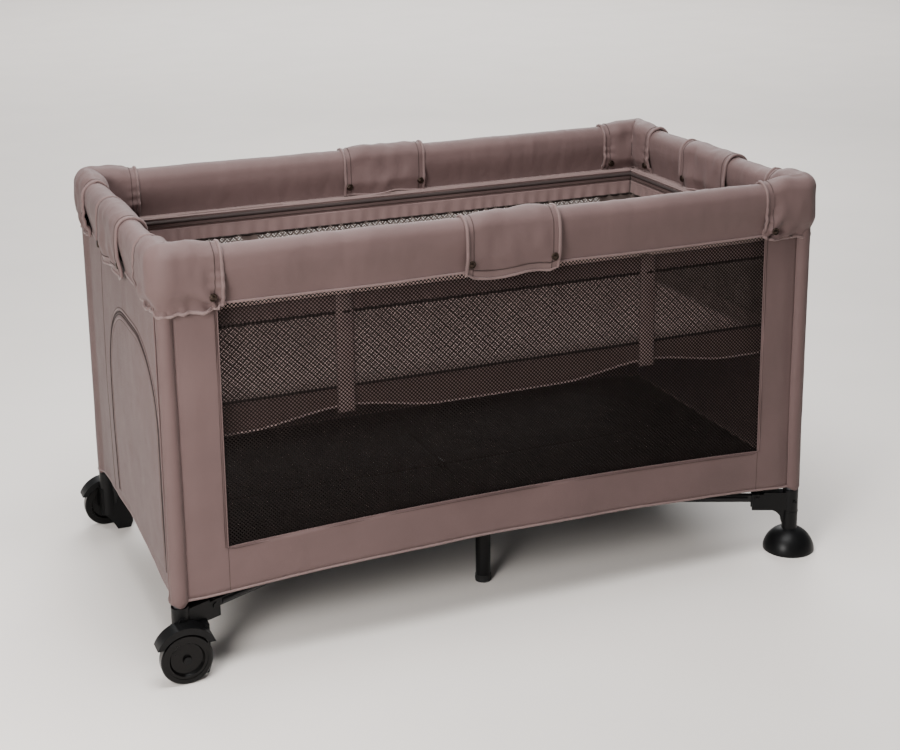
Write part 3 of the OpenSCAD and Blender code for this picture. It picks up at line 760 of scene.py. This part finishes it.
def door_route(grow, step=4 * MM):
    """The door's outline as y and z: up its front edge, over the top and down its back edge."""
    y0, y1 = DOOR_LOW[1] - grow, DOOR_HIGH[1] + grow
    top = DOOR_HIGH[2] + grow
    low = DOOR_LOW[2]
    r = DOOR_R + grow
    quarter = np.linspace(0, math.pi / 2, 24)
    points = [(y0, low)]
    points += [(y0 + r - r * math.cos(a), top - r + r * math.sin(a)) for a in quarter]
    points += [(y1 - r + r * math.sin(a), top - r + r * math.cos(a)) for a in quarter]
    points += [(y1, low)]
    return resample(points, step)


def left_off(y, z):
    """How far the left wall stands outward: a shallow belly with a few long creases."""
    p = np.stack(np.broadcast_arrays(np.full_like(y, -LX), y, z), axis=-1)
    f = np.clip(np.abs(y) / (LY - POST_R), 0, 1)
    belly = 5 * MM * (1 - f ** 4) * np.sin(np.clip((z - HEM_Z) / (WALL_TOP - HEM_Z), 0, 1) * math.pi)
    broad = 1.6 * MM * noise(p, (0.1, 0.12, 0.16), 80) * (1 - f ** 6)
    return WALL_OFF + belly + broad + 0.5 * MM * noise(p, (0.1, 0.03, 0.05), 81)


def short_wall(side):
    body = {"left": "leg_front_left", "right": "leg_front_right"}[side]
    half = LY - 1 * MM
    y = np.linspace(-half, half, 118)
    t = np.linspace(0, 1, 100)
    Y, T = np.meshgrid(y, t, indexing="ij")
    hem = HEM_Z + 3 * MM + HEM_RISE * (1 - (Y / half) ** 2)
    Z = hem + (WALL_TOP - hem) * T
    off = left_off(Y, Z)
    edge = smooth((np.abs(Y) - (half - 34 * MM)) / (30 * MM))
    off = off * (1 - edge) + (POST_R + 0.4 * MM) * edge
    P = at_side(side, Y, off, Z)
    k = -1 if side == "left" else 1
    piece = Piece("wall_cloth_" + side)
    keep = None
    if side == "left":
        keep = ~inside_door((Y[:-1, :-1] + Y[1:, 1:]) / 2, (Z[:-1, :-1] + Z[1:, 1:]) / 2, 3 * MM)
    piece.grid(P, FABRIC, keep=keep, flip=k < 0)
    piece.tube(P[:, 0], 2.3 * MM, EDGE)
    piece.tube(P[:, 2], STITCH_R, SEAM_SHADE, sides=5)
    beside_post = half - 38 * MM
    for at in ((STRIP_SEAM_Y,) if side == "left" else (-beside_post, beside_post)):
        line = np.argmin(np.abs(y - at))
        piece.tube(P[line] + [k * 0.5 * MM, 0, 0], SEAM_R, SEAM_SHADE, sides=5)
    piece.make(body, ["wall_" + side], thick=WALL_THICK, fold=SHORT_FOLD)


def inside_door(y, z, grow):
    y0, y1, top = DOOR_LOW[1] - grow, DOOR_HIGH[1] + grow, DOOR_HIGH[2] + grow
    r = DOOR_R + grow
    inside = (y > y0) & (y < y1) & (z > DOOR_LOW[2] + grow) & (z < top)
    for cy, way in ((y0 + r, -1), (y1 - r, 1)):
        corner = (way * (y - cy) > 0) & (z > top - r)
        inside &= ~(corner & ((y - cy) ** 2 + (z - top + r) ** 2 > r * r))
    return inside


def on_left_wall(q, lift):
    """Points q, as y and z, laid on the left wall and lifted outward by lift in mm."""
    return np.stack([-(LX + left_off(q[:, 0], q[:, 1]) + lift * MM), q[:, 0], q[:, 1]], axis=1)


def door():
    """The zipped flap that fills the arch, its half of the zip, and the wall's half with its tape."""
    low, top = DOOR_LOW[2], DOOR_HIGH[2]
    rim = door_route(1.5 * MM, 5 * MM)
    centre = np.array([(DOOR_LOW[1] + DOOR_HIGH[1]) / 2, low])
    rings = [on_left_wall(centre + (rim - centre) * f, 0.2) for f in np.linspace(0.002, 1, 46)]
    piece = Piece("door_cloth")
    piece.grid(rings, FABRIC)
    piece.make("door", ["door_flap"], thick=WALL_THICK, fold=SHORT_FOLD)
    # Each line of the zip in mm: distance outside the door's outline, radius, material, height over the wall.
    flap_lines = ((-1.5, 1.1, ZIP, 0.9), (-8, 0.8, EDGE, 0.7), (-11, 0.45, SEAM_SHADE, 0.8))
    wall_lines = ((3.5, 1.1, ZIP, 0.9), (8, 0.9, EDGE, 0.7), (11, 0.45, SEAM_SHADE, 0.8))
    trim = Piece("door_zip")
    tape = Piece("wall_zip")
    for strip_piece, lines in ((trim, flap_lines), (tape, wall_lines)):
        for grow, r, mat, lift in lines:
            strip_piece.tube(on_left_wall(door_route(grow * MM), lift), r * MM, mat, sides=6)
    trim.build_trim("door", SHORT_FOLD)
    # the zip's tape closes the slit between the panel and the wall from the inside
    strip = []
    for grow in (-5 * MM, 2 * MM, 9 * MM):
        q = door_route(grow, 1 * MM)
        strip.append(on_left_wall(q[np.linspace(0, len(q) - 1, 170).round().astype(int)], -1.4))
    tape.trimming().grid(strip, TAPE)
    tape.build_trim("leg_front_left", SHORT_FOLD)


# ---- bassinet level ----

BAND_TOP = TUB_HIGH[2] + 4 * MM
ZIP_Z = TUB_HIGH[2] - 8 * MM
NET_TOP = 588 * MM
STITCH_Z = 617 * MM
NET_LOW = TUB_LOW[2] + 36 * MM
SKIRT_LOW = TUB_LOW[2] - 19 * MM


def skirt_hem(s, side):
    """The scalloped lower hem: high at the straps, sagging between them."""
    if side in ("front", "back"):
        f = np.abs(np.abs(s) - STRAP_X) / STRAP_X
    else:
        f = 1 - np.abs(s) / TUB_HIGH[1]
    return SKIRT_LOW + 21 * MM * (1 - smooth(f * 1.6))


def tub_side(side, body):
    """One side of the bassinet level: band, a pale sheet of painted light over the band's upper part, skirt,
    net and, on a long side, two straps.
    """
    long_side = side in ("front", "back")
    half = TUB_HIGH[0] if long_side else TUB_HIGH[1] - 2 * MM
    depth = (TUB_HIGH[1] - LY) if long_side else (TUB_HIGH[0] - LX)
    net = NET_INNER_X if long_side else NET_INNER_Y
    fold = LONG_FOLD if long_side else SHORT_FOLD
    out = outward(side)
    n = int(2 * half / (4.5 * MM))
    s = np.linspace(-half, half, n)
    sign = 1 if side in ("front", "right") else -1
    seed = 90 + SIDES.index(side)

    def sheet_of(z0, z1, rows, amount, gather, mat, piece, lift=0.0):
        """Cloth from height z0, a number or a function of s, up to z1; amount is its unevenness."""
        t = np.linspace(0, 1, rows)
        S, T = np.meshgrid(s, t, indexing="ij")
        lo = z0(S) if callable(z0) else z0
        Z = lo + (z1 - lo) * T
        base = at_side(side, S, depth, Z)
        wave = gather * np.sin(S / 0.0042 + 3 * noise(base, (0.09, 0.09, 0.3), seed)) * (1 - T)
        if mat is net:
            phase = 2.5 * noise(base, (0.12, 0.12, 0.2), seed + 2)
            wave = 3.2 * MM * np.sin(S / 0.0125 + phase) * np.sin(T * math.pi)
        off = depth + lift + amount * noise(base, (0.12, 0.12, 0.09), seed + 1) + wave
        P = at_side(side, S, off, Z)
        piece.grid(P, mat, flip=sign < 0)
        return P

    top = Piece("bassinet_band_" + side)
    # The gathered band takes the lighter copy of the inner fabric, painted light against the nets' shadow.
    P = sheet_of(NET_TOP, STITCH_Z, 10, 1.5 * MM, 1.8 * MM, BAND_PAINTED_LIGHT, top)
    # Above the stitch line the band takes the lighter tape colour: partly the zip's tape, partly painted
    # light falling from above between the bassinet and the wall.
    sheet_of(STITCH_Z, BAND_TOP, 5, 1.5 * MM, 0.0, TAPE, top)
    ledge_t = np.linspace(depth, -9 * MM, 4)
    S, T = np.meshgrid(s, ledge_t, indexing="ij")
    top.grid(at_side(side, S, T, BAND_TOP - 0.3 * MM), TAPE, flip=sign < 0)
    top.tube(P[:, 0] + out * 1.0 * MM, 2.8 * MM, DARK, sides=6)
    top.tube(P[:, -1] + out * 1.0 * MM, 1.2 * MM, EDGE, sides=5)
    zipper = at_side(side, s, depth, ZIP_Z) - out * 1.5 * MM
    top.tube(zipper, 4.0 * MM, ZIP, sides=8)
    top.tube(zipper + [0, 0, 8 * MM], 1.2 * MM, EDGE, sides=5)
    top.tube(zipper - [0, 0, 10 * MM], 0.9 * MM, SEAM_SHADE, sides=5)
    top.make(body, thick=BAND_THICK, fold=fold)
    # A pale sheet just outside the band's upper part is painted light: it stands for light seen through the
    # net there, not for a cloth.
    back = Piece("bassinet_painted_light_sheet_" + side)
    sheet_of(STITCH_Z + 3 * MM, BAND_TOP - 3 * MM, 4, 1.5 * MM, 0.0, PAINTED_LIGHT_SHEET, back, lift=3.5 * MM)
    back.make(body, thick=0.8 * MM, fold=fold)
    low = Piece("bassinet_skirt_" + side)
    Q = sheet_of(lambda q: skirt_hem(q, side), NET_LOW, 12, 2.0 * MM, 0.8 * MM, INNER, low)
    low.tube(Q[:, -1] + out * 1.0 * MM, 2.4 * MM, DARK, sides=6)
    low.tube(Q[:, 0] + out * 0.8 * MM, 2.0 * MM, LIGHT_EDGE, sides=6)
    low.make(body, thick=BAND_THICK, fold=fold)
    mesh = Piece("bassinet_net_" + side)
    sheet_of(NET_LOW - 3 * MM, NET_TOP + 3 * MM, 24, 2.5 * MM, 0.0, net, mesh)
    mesh.make(body, fold=fold)
    if long_side:
        straps = Piece("bassinet_straps_" + side)
        for x in (-STRAP_X, STRAP_X):
            u = np.linspace(-15 * MM, 15 * MM, 7)
            z = np.linspace(SKIRT_LOW + 9 * MM, ZIP_Z - 8 * MM, 40)
            U, Z = np.meshgrid(u, z, indexing="ij")
            ripple = 0.8 * MM * noise(at_side(side, U, 0, Z), (0.1, 0.1, 0.05), 99)
            B = at_side(side, x + U, depth + 3.2 * MM + ripple, Z)
            straps.grid(B, STRAP, flip=sign < 0)
            for e in (0, -1):
                straps.tube(B[e], 0.9 * MM, EDGE, sides=5)
        straps.make(body, thick=WALL_THICK, fold=fold)


def bassinet():
    """The bassinet level's four sides and its floor, which is cut into strips for the bodies it rides on."""
    tub_side("front", "leg_front_left")
    tub_side("back", "leg_back_left")
    tub_side("left", "leg_front_left")
    tub_side("right", "leg_front_right")
    z = TUB_LOW[2] + 3 * MM
    third = TUB_HIGH[1] / 3
    strips = (("front", "leg_front_left", -TUB_HIGH[1] + 2 * MM, -third),
              ("middle", "latch_left", -third, third),
              ("back", "leg_back_left", third, TUB_HIGH[1] - 2 * MM))
    x = np.linspace(-TUB_HIGH[0] + 2 * MM, TUB_HIGH[0] - 2 * MM, 90)
    for name, body, y0, y1 in strips:
        X, Y = np.meshgrid(x, np.linspace(y0, y1, 22), indexing="ij")
        p = np.stack([X, Y, np.full_like(X, z)], axis=-1)
        p[..., 2] += 1.0 * MM * noise(p, (0.12, 0.12, 0.1), 101) - 1.2 * MM
        piece = Piece("bassinet_floor_" + name)
        piece.grid(p, INNER)
        piece.make(body, ["bassinet"] if name == "front" else (), thick=FLOOR_THICK, fold=LONG_FOLD)


def floor_cloth():
    """The lower floor as four quadrants that fold in with the arms."""
    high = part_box("floor_panel")[1]
    u, v = np.linspace(0, high[0] - 2 * MM, 60), np.linspace(0, high[1] - 1 * MM, 34)
    U, V = np.meshgrid(u, v, indexing="ij")
    for corner, (sx, sy) in CORNERS.items():
        p = np.stack([sx * U, sy * V, np.full_like(U, FLOOR_Z - 2 * MM)], axis=-1)
        f = (U / high[0]) ** 2 + (V / high[1]) ** 2
        sag = -2.5 * MM * np.clip(1 - f, 0, 1)
        fine = 0.5 * MM * noise(p, (0.03, 0.04, 0.1), 111)
        p[..., 2] += sag + 1.3 * MM * noise(p, (0.11, 0.09, 0.1), 110) + fine
        cut = (U[:-1, :-1] > LX - 20 * MM) & (V[:-1, :-1] > LY - 20 * MM)
        piece = Piece("floor_cloth_" + corner)
        piece.grid(p, DARK, keep=~cut, flip=sx * sy < 0)
        pivot = Vector((sx * (LX - ARM_PIVOT_X), sy * (LY - ARM_PIVOT_Y), 0))
        run = Vector((LX - UNFOLDED, sx * sy * (LY - UNFOLDED), 0)).normalized()
        across = (-run.y, run.x, 0)
        piece.make("arm_" + corner, ["floor_panel"] if corner == "front_left" else (), slot="floor_fabric",
                   thick=FLOOR_THICK, fold=(across, pivot, 0.12))


def mattress():
    """Four stiffened panels in one padded cover, with a piped edge."""
    hx, hy = PAD_HIGH[0], PAD_HIGH[1]
    r = 40 * MM
    nx, ny = 140, 60
    X, Y = np.meshgrid(np.linspace(-1, 1, nx), np.linspace(-1, 1, ny), indexing="ij")
    px, py = X * hx, Y * hy
    ax, ay = np.abs(px) - (hx - r), np.abs(py) - (hy - r)
    over = (ax > 0) & (ay > 0)
    d = np.hypot(ax, ay)
    scale = np.where(over, np.minimum(1, r / np.maximum(d, 1e-9)), 1)
    px = np.where(over, np.sign(px) * ((hx - r) + ax * scale), px)
    py = np.where(over, np.sign(py) * ((hy - r) + ay * scale), py)
    rim = np.where(over, r - np.minimum(d, r), np.minimum(hx - np.abs(px), hy - np.abs(py)))
    crown = np.clip(rim / (22 * MM), 0, 1) ** 0.5
    seam = sum(np.exp(-((px - x) / (7 * MM)) ** 2) for x in (-hx / 2, 0, hx / 2))
    middle_z = (PAD_LOW[2] + PAD_HIGH[2]) / 2
    h = PAD_HIGH[2] - middle_z
    p = np.stack([px, py, np.full_like(px, middle_z)], axis=-1)
    top = p.copy()
    top[..., 2] = middle_z + h * crown * (1 - 0.28 * seam)
    top[..., 2] += 0.8 * MM * noise(p, (0.08, 0.07, 0.1), 120) * crown
    low = p.copy()
    low[..., 2] = middle_z - h * np.clip(rim / (10 * MM), 0, 1) ** 0.5 * 0.98
    piece = Piece("mattress_cover")
    piece.grid(top, QUILT)
    piece.grid(low, QUILT, flip=True)
    edge = np.concatenate([p[:, 0], p[-1, 1:], p[::-1, -1][1:], p[0, ::-1][1:-1]])
    piece.tube(resample(edge, 9 * MM), 2.4 * MM, EDGE, sides=6, closed=True)
    piece.make("mattress", ["mattress"], slot="mattress_fabric")


# ---- CAD pieces: better materials on the nodes that stay ----

# A node takes the material of the first entry that its name starts with.
LOOKS = (("wheel_bracket", BLACK), ("wheel", WHEEL), ("dome_foot", BLACK), ("top_corner", BLACK),
         ("hub_foot", RUBBER), ("hub", BLACK), ("arm", TUBE), ("leg_tube", LEG),
         ("latch_button", BUTTON), ("latch", BLACK), ("rail", RAIL))


def dress_cad():
    """Gives the CAD nodes that stay visible the materials above."""
    for name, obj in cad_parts.items():
        for start, mat in LOOKS:
            if name.startswith(start):
                obj.data.materials.clear()
                obj.data.materials.append(mat)
                break


# ---- room, light and camera ----

def stage():
    bpy.ops.mesh.primitive_plane_add(size=60, location=(0, 0, 0))
    ground = bpy.context.object
    ground.name = "ground"
    m = Nodes("pale_floor")
    m.link(m.colour_range(m.noise(3, 3), (0.70, 0.655, 0.615), 0.02), m.shader.inputs["Base Color"])
    m.shader.inputs["Roughness"].default_value = 0.6
    ground.data.materials.append(m.mat)
    world = bpy.data.worlds.new("studio")
    world.use_nodes = True
    world.node_tree.nodes["Background"].inputs["Color"].default_value = (0.90, 0.91, 0.93, 1)
    world.node_tree.nodes["Background"].inputs["Strength"].default_value = 0.24
    bpy.context.scene.world = world

    def area(name, place, aim, size, power, colour=(1, 1, 1)):
        light = bpy.data.lights.new(name, "AREA")
        light.energy = power
        light.size = size
        light.color = colour
        lamp = bpy.data.objects.new(name, light)
        lamp.location = place
        lamp.rotation_euler = (Vector(aim) - Vector(place)).to_track_quat("-Z", "Y").to_euler()
        bpy.context.scene.collection.objects.link(lamp)

    area("key", (-1.75, -1.6, 1.3), (-0.4, 0, 0.3), 0.9, 76, (1.0, 0.98, 0.96))
    area("top", (-0.3, -0.5, 3.0), (0, 0, 0.5), 1.6, 145)
    area("back", (1.8, 3.2, 2.2), (0, 0, 0.4), 2.0, 40)
    area("backdrop", (3.0, 8.5, 6.0), (3.0, 8.5, 0), 9.0, 1350)


def camera():
    """Seen from the front left and above, with a small downward shift."""
    focal_px, place, yaw, pitch, roll = 1617.5, (-1.1132, -2.7581, 1.3856), 0.3908, 0.2453, -0.0114
    frame_px, shift_px = 900.0, 150.0
    cam = bpy.data.cameras.new("camera")
    cam.sensor_width = 36
    cam.lens = focal_px / frame_px * 36
    cam.shift_y = -shift_px / frame_px
    obj = bpy.data.objects.new("camera", cam)
    forward = Vector((math.sin(yaw) * math.cos(pitch), math.cos(yaw) * math.cos(pitch), -math.sin(pitch)))
    obj.location = place
    obj.rotation_euler = forward.to_track_quat("-Z", "Y").to_euler()
    obj.rotation_euler.rotate_axis("Z", roll)
    bpy.context.scene.collection.objects.link(obj)
    bpy.context.scene.camera = obj


stage()
camera()
dress_cad()
for side in SIDES:
    for half in (-1, 1):
        rail_cover(side, half)
    latch_sleeve(side)
for corner in CORNERS:
    corner_cover(corner)
    post_sleeve(corner)
for side in ("front", "back"):
    long_wall(side)
for side in ("left", "right"):
    short_wall(side)
door()
bassinet()
floor_cloth()
mattress()
